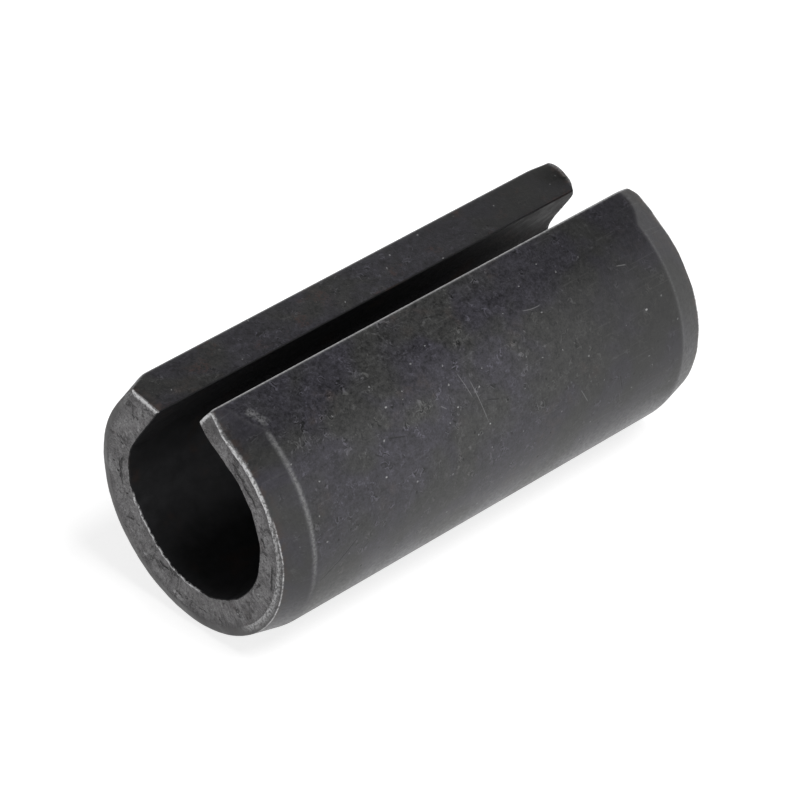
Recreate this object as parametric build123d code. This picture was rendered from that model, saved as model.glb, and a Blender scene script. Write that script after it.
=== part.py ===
from build123d import *
import math
import os

# Slotted spring pin: one strip of hardened spring steel, rolled into a tube with an open slot.
# Millimetres and degrees. The pin lies along X, on its lowest line, with its slot upwards.
# The origin is on the axis of the shank at mid-length. The two ends differ only at their lips.

# The tube. The bore sits a little off the axis, because the strip is thinner at the front.
LENGTH = 18.0
SHANK_RADIUS = 4.37
WALL = 1.43
BORE_OFF_AXIS = (-0.138, 0.077)

# The slot's width and place, where it opens into the bore.
SLOT_WIDTH = 1.82
SLOT_MIDDLE = -0.374
SLOT_EDGE_RADIUS = 0.08

# The rolls can't grip the ends of the strip, so a lip on each side of the slot stays flat.
# The front lip is the one at -Y. Angles are above the horizontal: those of the bore's ends
# are seen from the bore's own centre, and a tilt is that of the way an inner face looks.
FRONT = -1
FRONT_FLAT_START = 45.0
FRONT_CORNER = 62.5
FRONT_BORE_END = 52.5
FRONT_INNER_TILT = 36.3
BACK = 1
BACK_FLAT_START = 50.0
BACK_CORNER = 62.7
BACK_BORE_END = 39.0
BACK_INNER_TILT = 50.8

# The chamfer runs from each end plane up to the full shank. It is deepest above the front.
CHAMFER_LENGTH = 1.14
CHAMFER_DEPTH = 0.295
CHAMFER_OFF_AXIS = (0.07, -0.1)

# The bevel is a broad, shallow band that takes the sharp edge off each end face.
BEVEL_LENGTH = 0.06
BEVEL_WIDTH = 0.27
BEVEL_DEPTH = 0.5

# Both change beside the slot, where they cross the lips. A point of a fade is how many degrees
# it lies short of the slot's outer corner, and how deep below the round of the shank. The near
# end is the one at -X, and each fade has the front lip's points, then the back lip's.
NEAR_CHAMFER_START = ((9.5, 0.42), (6.1, 0.29), (1.9, 0.05)), ((6.4, 0.34), (-4.3, 0.21))
NEAR_CHAMFER_FINISH = ((9.5, -0.117), (6.1, -0.11), (1.9, -0.022)), ((6.4, -0.066), (-4.3, -0.146))
NEAR_BEVEL = ((9.5, 0.36), (1.9, -0.05)), ((6.4, 0.5), (-4.3, 0.26))
FAR_CHAMFER_START = ((9.5, 0.36), (5.5, 0.3), (1.5, 0.275)), ((6.4, 0.2), (-4.3, 0.05))
FAR_CHAMFER_FINISH = ((9.5, -0.101), (5.5, -0.112), (1.5, -0.124)), ((6.4, -0.066), (-4.3, -0.05))
FAR_BEVEL = ((9.5, 0.42), (1.9, 0.36)), ((6.4, 0.5), (-4.3, 0.26))

# The far end has lost the inner corner of its back lip. The cut starts at this Y on the end
# face and is this long at the corner.
TIP_CUT_START = 1.36
TIP_CUT_LENGTH = 0.37
TIP_CUT_BOTTOM = 2.0
PAST_TIP = 0.3

# How far the pin rolls over towards the back, from slot-up to where it lies in balance. Its
# centre of mass is then below the axis, to within the few degrees that strips differ by.
LEAN = 14.3

# How far the lines of a fade carry on past the slot's corners, before they turn upwards.
PAST_CORNER = 0.5

AXIS = Vector(0, 0)
BORE_CENTRE = Vector(*BORE_OFF_AXIS)
BORE_RADIUS = SHANK_RADIUS - WALL
TOOL_RADIUS = 2 * SHANK_RADIUS


def outwards(side, angle):
    """Direction away from the axis, on one side, in the plane of the section."""
    return Vector(side * math.cos(math.radians(angle)), math.sin(math.radians(angle)))


def inner_corner(side, face_start, tilt):
    """Corner where a lip's flat inner face meets its side of the slot."""
    normal = outwards(side, tilt)
    y = SLOT_MIDDLE + side * SLOT_WIDTH / 2
    return Vector(y, face_start.Y - (y - face_start.X) * normal.X / normal.Y)


def lower_arc(start, centre, radius, end):
    """Arc round the bottom of the section, from one point of a circle to another."""
    return ThreePointArc(start, centre - Vector(0, radius), end)


def strip_section():
    """Cross-section of the rolled strip, with Y to the right and Z up."""
    front_start = outwards(FRONT, FRONT_FLAT_START) * SHANK_RADIUS
    back_start = outwards(BACK, BACK_FLAT_START) * SHANK_RADIUS
    front_bore = BORE_CENTRE + outwards(FRONT, FRONT_BORE_END) * BORE_RADIUS
    back_bore = BORE_CENTRE + outwards(BACK, BACK_BORE_END) * BORE_RADIUS
    front_sides = [
        inner_corner(FRONT, front_bore, FRONT_INNER_TILT),
        outwards(FRONT, FRONT_CORNER) * SHANK_RADIUS,
    ]
    back_sides = [
        outwards(BACK, BACK_CORNER) * SHANK_RADIUS,
        inner_corner(BACK, back_bore, BACK_INNER_TILT),
    ]
    face = make_face(
        [
            lower_arc(front_start, AXIS, SHANK_RADIUS, back_start),
            Polyline(back_start, *back_sides, back_bore),
            lower_arc(back_bore, BORE_CENTRE, BORE_RADIUS, front_bore),
            Polyline(front_bore, *front_sides, front_start),
        ]
    )
    slot_corners = [
        vertex
        for vertex in face.vertices()
        if min((Vector(vertex) - corner).length for corner in front_sides + back_sides) < 0.01
    ]
    return fillet(slot_corners, SLOT_EDGE_RADIUS)


def fade_points(side, corner_angle, fade, grow):
    """Points of an end outline over a lip, carried on past the slot's corner and then up."""
    points = [
        outwards(side, corner_angle - short) * (SHANK_RADIUS - depth + grow)
        for short, depth in fade
    ]
    past = points[-1] + (points[-1] - points[-2]).normalized() * PAST_CORNER
    return [*points, past, Vector(past.X, TOOL_RADIUS)]


def end_outline(centre, radius, fades, grow=0.0):
    """Closed outline of an end: a circle open at the top, with a line over each lip."""
    front_fade, back_fade = fades
    front = fade_points(FRONT, FRONT_CORNER, front_fade, grow)
    back = fade_points(BACK, BACK_CORNER, back_fade, grow)
    front_leave = centre + outwards(FRONT, FRONT_FLAT_START) * (radius + grow)
    back_leave = centre + outwards(BACK, BACK_FLAT_START) * (radius + grow)
    return make_face(
        [
            lower_arc(front_leave, centre, radius + grow, back_leave),
            Polyline(back_leave, *back, *reversed(front), front_leave),
        ]
    )


def end_tool(start, finish, length):
    """What the end at -X loses: everything outside a taper between two outlines."""
    plane = Plane.YZ.offset(-LENGTH / 2)
    taper = loft([plane * start, plane.offset(length) * finish], ruled=True)
    slab = extrude(plane * Circle(TOOL_RADIUS), length)
    return slab - taper


def chamfer_tool(start_fades, finish_fades):
    """The long, shallow chamfer of one end."""
    start_radius = SHANK_RADIUS - CHAMFER_DEPTH
    start = end_outline(Vector(*CHAMFER_OFF_AXIS), start_radius, start_fades)
    finish = end_outline(AXIS, SHANK_RADIUS, finish_fades)
    return end_tool(start, finish, CHAMFER_LENGTH)


def bevel_tool(fades):
    """The bevel round one end face."""
    start_radius = SHANK_RADIUS - BEVEL_DEPTH
    start = end_outline(AXIS, start_radius, fades)
    finish = end_outline(AXIS, start_radius, fades, grow=BEVEL_WIDTH)
    return end_tool(start, finish, BEVEL_LENGTH)


def tip_tool():
    """What the back lip has lost at the inner corner of its far end."""
    corner = Vector(LENGTH / 2 - TIP_CUT_LENGTH, SLOT_MIDDLE + SLOT_WIDTH / 2)
    start = Vector(LENGTH / 2, TIP_CUT_START)
    past = corner + (corner - start).normalized() * PAST_TIP
    wedge = make_face(Polyline(start, past, Vector(LENGTH / 2, past.Y), start))
    return extrude(Plane.XY.offset(TIP_CUT_BOTTOM) * wedge, SHANK_RADIUS)


def spring_pin():
    """The whole pin, with its slot straight up."""
    blank = extrude(Plane.YZ.offset(-LENGTH / 2) * strip_section(), LENGTH)
    near_end = [chamfer_tool(NEAR_CHAMFER_START, NEAR_CHAMFER_FINISH), bevel_tool(NEAR_BEVEL)]
    far_end = [chamfer_tool(FAR_CHAMFER_START, FAR_CHAMFER_FINISH), bevel_tool(FAR_BEVEL)]
    return blank - near_end - [mirror(tool, Plane.YZ) for tool in far_end] - tip_tool()


pin = Rot(-LEAN, 0, 0) * spring_pin()
pin.label = "spring_pin"

os.makedirs("parts", exist_ok=True)
export_step(pin, "parts/spring_pin.step")
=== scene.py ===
import math

import bpy
import numpy as np
from mathutils import Matrix, Vector, noise


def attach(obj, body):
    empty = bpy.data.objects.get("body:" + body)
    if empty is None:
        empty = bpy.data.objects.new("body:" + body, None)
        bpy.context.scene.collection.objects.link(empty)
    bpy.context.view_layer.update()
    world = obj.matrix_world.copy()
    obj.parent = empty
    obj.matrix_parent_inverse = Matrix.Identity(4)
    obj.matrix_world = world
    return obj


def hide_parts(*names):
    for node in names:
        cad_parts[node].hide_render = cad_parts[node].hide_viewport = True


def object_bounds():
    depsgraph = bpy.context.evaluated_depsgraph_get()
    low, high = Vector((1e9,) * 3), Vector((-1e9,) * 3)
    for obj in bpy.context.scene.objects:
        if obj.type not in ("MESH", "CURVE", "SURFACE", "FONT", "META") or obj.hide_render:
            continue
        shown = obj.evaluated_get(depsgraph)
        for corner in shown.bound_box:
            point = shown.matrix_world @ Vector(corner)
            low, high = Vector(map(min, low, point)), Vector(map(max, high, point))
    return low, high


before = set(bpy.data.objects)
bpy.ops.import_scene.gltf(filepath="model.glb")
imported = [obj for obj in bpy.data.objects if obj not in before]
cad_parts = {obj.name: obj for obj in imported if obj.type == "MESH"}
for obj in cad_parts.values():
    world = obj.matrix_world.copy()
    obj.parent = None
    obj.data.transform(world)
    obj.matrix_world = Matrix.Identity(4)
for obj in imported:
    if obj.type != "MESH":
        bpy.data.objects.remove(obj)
cad_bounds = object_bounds()

# A slotted spring pin: one mesh that carries marks of its wear, three materials and a white
# studio. The pin and its textures are in millimetres and degrees, and the studio in metres.
MM = 0.001


def new_object(name, data):
    obj = bpy.data.objects.new(name, data)
    bpy.context.scene.collection.objects.link(obj)
    return obj


# --- the pin's section ---
# The section is drawn with the slot upwards, and then leans. Angles run from +Y over +Z. The
# outline goes from the front lip round the bottom to the back lip, which is past a full turn.

# Half the pin's length, and the radius of its shank.
HALF = 9.0
RADIUS = 4.365
LEAN = 14.3
BORE_CENTRE = (-0.138, 0.077)
BORE_RADIUS = 2.94

# Each lip: its outer corner, where its outer flat starts, its inner corner, and its inner flat
# as the way it looks and its distance from the bore's centre.
FRONT_CORNER = 117.5
FRONT_FLAT = 135.0
FRONT_INNER = (-1.284, 3.285)
FRONT_INNER_FLAT = (140.0, 2.94)
BACK_CORNER = 422.7
BACK_FLAT = 410.0
BACK_INNER = (0.536, 3.241)
BACK_INNER_FLAT = (409.0, 2.83)
# The bore bends into the back lip's inner flat: how softly, and how far before it that starts.
BACK_BEND = 0.1
BACK_BEND_FROM = 45.0

# Roundings: of each edge of an end face, of the ridges of chamfer and bevel, and of the slot.
END_EDGE = 0.035
CHAMFER_RIDGE = 0.035
BEVEL_RIDGE = 0.08
OUTER_EDGE = 0.08
INNER_EDGE = 0.06

# How finely the surface is divided: round the outside, down a side of the slot, along one half.
AROUND = 256
OUTER_ARC = 5
FLAT_STEPS = 9
INNER_ARC = 4
EDGE_STEPS = 4
BEVEL_STEPS = 5
CHAMFER_STEPS = 18
BODY_STEPS = 40
# The body's stations crowd towards the chamfer: their even share, and the power of the rest.
BODY_EVEN = 0.12
BODY_CROWDING = 1.6
# Points along the outside or the bore, on one side of the slot, and in a whole loop.
ARC = AROUND + 1
SIDE = OUTER_ARC + FLAT_STEPS - 1 + INNER_ARC
LOOP = 2 * ARC + 2 * SIDE
# The angles at which radii are worked out.
FINE = np.linspace(106.0, 436.0, 3301)
# Each lip's corners, and between which angles an outline crosses the line through them.
LIPS = ((FRONT_CORNER, FRONT_INNER, (108, 128)), (BACK_CORNER, BACK_INNER, (414, 435)))


def ease(share):
    return share * share * (3 - 2 * share)


def ramp(value, low, high):
    """From 0 to 1, smoothly, as a value goes from one to another."""
    return ease(np.clip((value - low) / (high - low), 0, 1))


def blend(start, end, share):
    return start + (end - start) * share


def bump_at(value, middle, width):
    return np.exp(-((value - middle) / width) ** 2)


def smooth_min(a, b, k):
    h = np.clip(k - np.abs(a - b), 0, None) / k
    return np.minimum(a, b) - h * h * k / 4


def polar(angle):
    a = np.radians(angle)
    return np.stack([np.cos(a), np.sin(a)], -1)


def quadratic(a, b, c, s):
    """Points of a curve from a to c that leaves and arrives along the lines to b."""
    s = np.asarray(s)[:, None]
    return (1 - s) ** 2 * a + 2 * s * (1 - s) * b + s**2 * c


def circle_radius(angle, centre, radius):
    """Distance from the axis to a circle about another centre."""
    c = np.array(centre)
    along = polar(angle) @ c
    return along + np.sqrt(radius**2 - c @ c + along**2)


def flat_radius(angle, start, corner):
    """Distance from the axis to a lip's outer flat."""
    middle = (corner + start) / 2
    return RADIUS * np.cos(np.radians(start - middle)) / np.cos(np.radians(angle - middle))


def body_radius(angle):
    """Distance from the axis to the shank and to the lips' outer flats."""
    r = np.full_like(angle, RADIUS)
    r = np.where(angle < FRONT_FLAT, flat_radius(angle, FRONT_FLAT, FRONT_CORNER), r)
    return np.where(angle > BACK_FLAT, flat_radius(angle, BACK_FLAT, BACK_CORNER), r)


def bore_radius(angle):
    """Distance from the bore's centre to the bore and to the lips' inner flats."""
    front_tilt, front_distance = FRONT_INNER_FLAT
    back_tilt, back_distance = BACK_INNER_FLAT
    front = front_distance / np.cos(np.radians(angle - front_tilt))
    back = back_distance / np.cos(np.radians(angle - back_tilt))
    r = np.full_like(angle, BORE_RADIUS)
    bend = smooth_min(r, back, BACK_BEND)
    r = np.where(angle < front_tilt, front, r)
    r = np.where(angle > back_tilt - BACK_BEND_FROM, bend, r)
    return np.where(angle > back_tilt, back, r)


def shank_angle(length):
    """The angle that a length takes up round the shank."""
    return math.degrees(length / RADIUS)


OUTER = np.linspace(
    FRONT_CORNER + shank_angle(OUTER_EDGE), BACK_CORNER - shank_angle(OUTER_EDGE), ARC)


def inner_end(corner, side):
    """Angle about the bore's centre at which the rounding of a lip's inner corner ends."""
    from_centre = np.array(corner) - BORE_CENTRE
    edge = math.degrees(INNER_EDGE / np.linalg.norm(from_centre))
    return math.degrees(math.atan2(from_centre[1], from_centre[0])) + side * edge


def inner_curve():
    """Where the outline runs along the bore and the lips' inner flats: angles and points."""
    # as far round at each step as the outer curve, so that the end face's grid isn't skewed
    angle = np.interp(
        OUTER,
        [OUTER[0], 180, 360, OUTER[-1]],
        [inner_end(FRONT_INNER, 1), 180, 360, 360 + inner_end(BACK_INNER, -1)])
    return angle, BORE_CENTRE + polar(angle) * bore_radius(angle)[:, None]


def side_points(outer, corner, inner_corner, inner):
    """One side of the slot, with its corners rounded."""
    flat = inner_corner - corner
    flat = flat / np.linalg.norm(flat)
    a = corner + flat * OUTER_EDGE
    b = inner_corner - flat * INNER_EDGE
    top = quadratic(outer, corner, a, np.linspace(0, 1, OUTER_ARC + 1)[1:])
    mid = a + (b - a) * np.linspace(0, 1, FLAT_STEPS + 1)[1:-1, None]
    low = quadratic(b, inner_corner, inner, np.linspace(0, 1, INNER_ARC + 1)[:-1])
    return np.concatenate([top, mid, low])


def crossing(points, corner, inner, between):
    """Angle at which an outline crosses the line of one side of the slot."""
    inner = np.array(inner)
    along = polar(corner) * RADIUS - inner
    away = (points - inner) @ np.array([-along[1], along[0]])
    first, last = between
    part = (FINE >= first) & (FINE <= last)
    angle, away = FINE[part], away[part]
    at = np.nonzero(np.sign(away[1:]) != np.sign(away[:-1]))[0]
    k = at[np.argmin(np.abs(angle[at] - corner))]
    return angle[k] + (angle[k + 1] - angle[k]) * away[k] / (away[k] - away[k + 1])


def round_loop(outer):
    """Values along the outside, carried over to the sides of the slot and to the bore."""
    return np.concatenate([
        outer, np.full(SIDE, outer[-1]), outer[::-1], np.full(SIDE, outer[0])])


def section_loop(x_fine, r_fine, bore):
    """One station's outline: the angles of its outside, its distances from the end, its
    points."""
    points = polar(FINE) * r_fine[:, None]
    front, back = corners = [crossing(points, *lip) for lip in LIPS]
    step = shank_angle(OUTER_EDGE)
    angle = np.interp(
        OUTER,
        [OUTER[0], FRONT_FLAT, BACK_FLAT, OUTER[-1]],
        [front + step, FRONT_FLAT, BACK_FLAT, back - step])
    outer = polar(angle) * np.interp(angle, FINE, r_fine)[:, None]
    front_side, back_side = [
        side_points(
            outer[k], polar(at) * np.interp(at, FINE, r_fine), np.array(inner), bore[k])
        for k, at, (_, inner, _) in zip((0, -1), corners, LIPS)]
    loop = np.concatenate([outer, back_side, bore[::-1], front_side[::-1]])
    return angle, round_loop(np.interp(angle, FINE, x_fine)), loop


def drawn_in(loop, inset):
    """An outline moved inwards by a length."""
    along = np.roll(loop, -1, 0) - np.roll(loop, 1, 0)
    inwards = np.stack([-along[:, 1], along[:, 0]], -1) / np.linalg.norm(along, axis=1)[:, None]
    return loop + inwards * inset


# --- the pin's ends ---
# The chamfer and the bevel: how far below the shank each starts, and how it rises from there.
CHAMFER_LENGTH = 1.14
CHAMFER_DEPTH = 0.31
CHAMFER_OFF_AXIS = (0.07, -0.1)
BEVEL_DEPTH = 0.495
BEVEL_SLOPE = 4.5
# Over the front lip, then over the back lip, they fade out: (angle, depth below the shank) for
# the start of the chamfer, its end and the start of the bevel.
NEAR_FADES = (
    ([(119.4, 0.05), (123.6, 0.29), (127.0, 0.42)], [(416.3, 0.34), (427.0, 0.21)]),
    ([(119.4, -0.022), (123.6, -0.11), (127.0, -0.117)], [(416.3, -0.066), (427.0, -0.146)]),
    ([(119.4, -0.05), (127.0, 0.36)], [(416.3, 0.495), (427.0, 0.26)]),
)
FAR_FADES = (
    ([(119.0, 0.275), (123.0, 0.3), (127.0, 0.36)], [(416.3, 0.2), (427.0, 0.05)]),
    ([(119.0, -0.124), (123.0, -0.112), (127.0, -0.101)], [(416.3, -0.066), (427.0, -0.05)]),
    ([(119.4, 0.36), (127.0, 0.42)], [(416.3, 0.495), (427.0, 0.26)]),
)
# The least that the chamfer rises, and the limits to where it and the bevel end.
LEAST_RISE = 0.05
CHAMFER_LIMITS = (0.3, 1.3)
BEVEL_LIMITS = (0.02, 0.4)

# The bore's edge is torn at both ends, less at the front and at the back. Each wave has its
# share, its length in degrees and its seed.
TEAR_DEPTH = 0.022
TEAR_REACH = 0.35
TEAR_WAVES = ((1.0, 3.1, 5), (0.7, 1.3, 6))
TEAR_AT_FRONT, TEAR_RISES = 0.35, (225, 265)
TEAR_AT_BACK, TEAR_FALLS = 0.2, (372, 385)
KNOTS = 4096
# At the near end the edge also has a small step towards its back.
STEP_DEPTH = 0.12
STEP_RISES = (298.0, 330.0)
STEP_FALLS = (349.5, 351.5)


def faded(plain, fade):
    """Radii round the pin that over the lips follow the points of a fade, and straight on."""
    flats = [(a, np.interp(a, FINE, plain)) for a in (FRONT_FLAT, BACK_FLAT)]
    front, back = [[(a, RADIUS - depth) for a, depth in lip] for lip in fade]
    at, radius = np.array(front + flats + back).T
    lips = np.interp(FINE, at, radius)
    lips += np.clip(at[0] - FINE, 0, None) * (radius[0] - radius[1]) / (at[1] - at[0])
    lips += np.clip(FINE - at[-1], 0, None) * (radius[-1] - radius[-2]) / (at[-1] - at[-2])
    between = (FINE > FRONT_FLAT) & (FINE < BACK_FLAT)
    return np.where(between, plain, lips)


def wavy(values, wave, seed):
    """A smooth random line through the given values, between -1 and 1."""
    knots = np.random.default_rng(seed).uniform(-1, 1, KNOTS)
    at = values / wave
    k = np.floor(at).astype(int)
    share = ease(at - k)
    return knots[k % KNOTS] * (1 - share) + knots[(k + 1) % KNOTS] * share


def ragged(angle, x, near):
    """How far the torn edge of the bore stands in."""
    torn = TEAR_DEPTH * sum(share * wavy(angle, wave, seed) for share, wave, seed in TEAR_WAVES)
    torn = torn * blend(TEAR_AT_FRONT, 1, ramp(angle, *TEAR_RISES))
    torn = torn * blend(1, TEAR_AT_BACK, ramp(angle, *TEAR_FALLS))
    if near:
        torn = torn + STEP_DEPTH * ramp(angle, *STEP_RISES) * (1 - ramp(angle, *STEP_FALLS))
    return torn * np.exp(-x / TEAR_REACH)


def stations(bevel_end, chamfer_end):
    """Distances from the end, each with how far the end's rounded edge draws the outline in."""
    rows = []
    for i in range(EDGE_STEPS):
        turn = math.radians(90 * (1 - i / EDGE_STEPS))
        x = np.full_like(FINE, END_EDGE * (1 - math.sin(turn)))
        rows.append((x, END_EDGE * (1 - math.cos(turn))))
    for i in range(BEVEL_STEPS):
        rows.append((blend(END_EDGE, bevel_end, i / BEVEL_STEPS), 0.0))
    for i in range(CHAMFER_STEPS):
        share = 0.5 - 0.5 * math.cos(math.pi * (i / CHAMFER_STEPS))
        rows.append((blend(bevel_end, chamfer_end, share), 0.0))
    for i in range(BODY_STEPS + 1):
        s = i / BODY_STEPS
        share = BODY_EVEN * s + (1 - BODY_EVEN) * s**BODY_CROWDING
        rows.append((blend(chamfer_end, HALF, share), 0.0))
    return rows


def half_surface(near):
    """One half's points, their marks and their places round the shank, in loops from its end."""
    shank = np.full_like(FINE, RADIUS)
    body = body_radius(FINE)
    chamfer = circle_radius(FINE, CHAMFER_OFF_AXIS, RADIUS - CHAMFER_DEPTH)
    fades = NEAR_FADES if near else FAR_FADES
    chamfer, finish, bevel = map(faded, (chamfer, shank, shank - BEVEL_DEPTH), fades)
    rise = np.maximum(finish, chamfer + LEAST_RISE) - chamfer
    slope = rise / CHAMFER_LENGTH
    chamfer_end = np.clip((body - chamfer) / slope, *CHAMFER_LIMITS)
    bevel_end = np.clip((chamfer - bevel) / (BEVEL_SLOPE - slope), *BEVEL_LIMITS) + END_EDGE
    inner_angle, inner = inner_curve()
    loops, marks, turned = [], [], []
    for x, inset in stations(bevel_end, chamfer_end):
        radius = smooth_min(body, chamfer + rise * x / CHAMFER_LENGTH, CHAMFER_RIDGE)
        radius = smooth_min(radius, bevel + BEVEL_SLOPE * x, BEVEL_RIDGE)
        torn = ragged(inner_angle, np.interp(OUTER, FINE, x), near)
        torn_inner = inner - polar(inner_angle) * torn[:, None]
        angle, x, loop = section_loop(x, radius, torn_inner)
        if inset:
            loop = drawn_in(loop, inset)
        ridge = np.interp(angle, FINE, chamfer_end) - RIDGE_BEFORE
        band = np.interp(angle, FINE, bevel_end)
        loops.append(np.concatenate([x[:, None], loop], 1))
        marks.append(loop_marks(180 - angle, x, ridge, band, near))
        turned.append(round_loop(np.radians(angle) * RADIUS))
    return np.array(loops), np.array(marks), np.array(turned)


# --- where the coating is worn ---
# What each point carries for the materials: how far its coating is worn off, and whether it is
# on the chamfer, on the bevel or on a side of the slot.
MARKS = ("wear", "chamfer", "bevel", "slot_side")
# Here an angle is 0 at the front, 90 at the top and less than 0 below the front, on to the back
# lip. A worn line has a strength and a width, and rises or falls between two angles.
# The ridge is the end of the chamfer, or a little before it.
RIDGE_BEFORE = 0.06
RIDGE_WEAR, RIDGE_WIDTH = 0.34, 0.1
FAR_RIDGE_WEAR = 0.16
RIDGE_BELOW, RIDGE_RISES = 0.12, (-60, -10)
RIDGE_ON_LIP, RIDGE_FALLS = 0.25, (40, 46)
# The rim is the edge of the end face. On the front lip it is worn harder and more widely.
RIM_WEAR, RIM_WIDTH = 0.52, 0.045
LIP_RIM_WEAR, LIP_RIM_WIDTH = 0.88, 0.08
RIM_STARTS, RIM_HARDENS, RIM_WIDENS = (-78, -62), (-6, 24), (22, 42)
BACK_RIM_WEAR, BACK_RIM_STARTS = 0.35, (-226, -238)
# The band is the end of the bevel.
BAND_WEAR, BAND_WIDTH = 0.75, 0.028
BAND_RISES = (-70, -56)
BAND_ON_LIP, BAND_FALLS = 0.2, (0, 15)
# The lips' edges along the slot, and the profile of the wear over their rounding.
FRONT_LIP_WEAR, BACK_LIP_WEAR = 0.62, 0.26
LIP_PROFILE = np.array([0.7, 1.0, 1.0, 0.6, 0.2])
BEFORE_LIP = 0.2
# The ends of the slot's sides, and at the near end the bore's rim, which is worn at its back.
NEAR_END_WEAR, NEAR_END_WIDTH = 1.0, 0.05
FAR_END_WEAR, FAR_END_WIDTH = 0.5, 0.14
BORE_RIM_WEAR, LEAST_BORE_WEAR = 0.87, 0.12
BORE_RIM_RISES, BORE_RIM_FALLS = (-92, -110), (-172, -182)
# The near end face, where it meets the slot.
FRONT_FACE_WEAR, BACK_FACE_WEAR = 0.3, 0.5
# Where the marks of the chamfer and the bevel end, from before the ridge or band to past it.
CHAMFER_ENDS = (-0.03, 0.05)
FAR_CHAMFER_ENDS = (-0.2, 0.1)
BEVEL_ENDS = (-0.02, 0.01)


def outer_wear(turned, x, ridge, band, near):
    """How the outside is worn at one station."""
    along = ramp(turned, *RIDGE_RISES) * blend(1, RIDGE_ON_LIP, ramp(turned, *RIDGE_FALLS))
    on_ridge = (RIDGE_WEAR if near else FAR_RIDGE_WEAR) * bump_at(x, ridge, RIDGE_WIDTH)
    on_ridge = on_ridge * blend(RIDGE_BELOW, 1, along)
    front = ramp(turned, *RIM_STARTS)
    front = front * blend(RIM_WEAR, LIP_RIM_WEAR, ramp(turned, *RIM_HARDENS))
    back = BACK_RIM_WEAR * ramp(turned, *BACK_RIM_STARTS)
    width = blend(RIM_WIDTH, LIP_RIM_WIDTH, ramp(turned, *RIM_WIDENS))
    on_rim = bump_at(x, 0.0, width) * np.maximum(front, back)
    along = ramp(turned, *BAND_RISES) * blend(1, BAND_ON_LIP, ramp(turned, *BAND_FALLS))
    on_band = BAND_WEAR * bump_at(x, band, BAND_WIDTH) * along
    return np.maximum(np.maximum(on_ridge, on_rim), on_band)


def inner_wear(turned, x, near):
    """How the sides of the slot and the bore are worn at one station."""
    if not near:
        return FAR_END_WEAR * bump_at(x, 0.0, FAR_END_WIDTH)
    along = ramp(turned, *BORE_RIM_RISES) * (1 - ramp(turned, *BORE_RIM_FALLS))
    bore = blend(LEAST_BORE_WEAR, BORE_RIM_WEAR, along)
    side = np.full(SIDE, NEAR_END_WEAR)
    return bump_at(x, 0.0, NEAR_END_WIDTH) * np.concatenate([side, bore[::-1], side])


def loop_marks(turned, x, ridge, band, near):
    """The marks of one station's loop, in the order of MARKS."""
    outside, rest = x[:ARC], x[ARC:]
    wear = np.zeros(LOOP)
    wear[:ARC] = outer_wear(turned, outside, ridge, band, near)
    wear[0] = np.maximum(wear[0], BEFORE_LIP * FRONT_LIP_WEAR)
    wear[ARC:ARC + OUTER_ARC] = BACK_LIP_WEAR * LIP_PROFILE
    wear[-OUTER_ARC:] = FRONT_LIP_WEAR * LIP_PROFILE[::-1]
    wear[ARC:] = np.maximum(wear[ARC:], inner_wear(turned, rest, near))
    before, past = CHAMFER_ENDS if near else FAR_CHAMFER_ENDS
    marks = np.zeros((LOOP, len(MARKS)))
    marks[:, 0] = wear
    marks[:ARC, 1] = 1 - ramp(outside, ridge + before, ridge + past)
    before, past = BEVEL_ENDS
    marks[:ARC, 2] = 1 - ramp(outside, band + before, band + past)
    marks[ARC + 1:ARC + SIDE, 3] = 1
    marks[2 * ARC + SIDE:-1, 3] = 1
    return marks


# --- the mesh ---
# Which material a face of the mesh has.
BODY_SLOT, FACE_SLOT, BORE_SLOT = 0, 1, 2
# How far into an end face its grid follows the sides of the slot.
CAP_REACH = 0.35


def cap_grid(loop):
    """Points of an end face between the loop's outer and inner curves."""
    outer, back = loop[:ARC], loop[ARC:ARC + SIDE]
    inner = loop[ARC + SIDE:2 * ARC + SIDE][::-1]
    front = loop[2 * ARC + SIDE:][::-1]
    rows = SIDE + 1
    w = (np.arange(1, rows) / rows)[:, None, None]
    grid = outer[None] * (1 - w) + inner[None] * w
    run = np.concatenate([[0], np.cumsum(np.linalg.norm(np.diff(outer, axis=0), axis=1))])
    by_front = np.exp(-run / CAP_REACH)[None, :, None]
    by_back = np.exp(-(run[-1] - run) / CAP_REACH)[None, :, None]
    to_front, to_back = (front - grid[:, 0])[:, None], (back - grid[:, -1])[:, None]
    return grid + to_front * by_front + to_back * by_back


def end_cap(loops, k, base):
    """The end face at one loop: its own points, its faces and its points' marks."""
    own = cap_grid(loops[k])[:, 1:-1]
    shape = own.shape[:2]
    ids = np.empty((SIDE + 2, ARC), int)
    ids[0] = np.arange(ARC)
    ids[-1] = ARC + SIDE + np.arange(ARC)[::-1]
    ids[1:-1, -1] = ARC + np.arange(SIDE)
    ids[1:-1, 0] = 2 * ARC + SIDE + np.arange(SIDE)[::-1]
    ids += k * LOOP
    ids[1:-1, 1:-1] = base + np.arange(math.prod(shape)).reshape(shape)
    a, b, c, d = ids[:-1, :-1], ids[:-1, 1:], ids[1:, 1:], ids[1:, :-1]
    marks = np.zeros((*shape, len(MARKS)))
    if k == 0:
        b, d = d, b
        marks[:, 0, 0] = FRONT_FACE_WEAR
        marks[:, -1, 0] = BACK_FACE_WEAR
    faces = np.stack([a, b, c, d], -1).reshape(-1, 4)
    return own.reshape(-1, 3), faces, marks.reshape(-1, len(MARKS))


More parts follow.
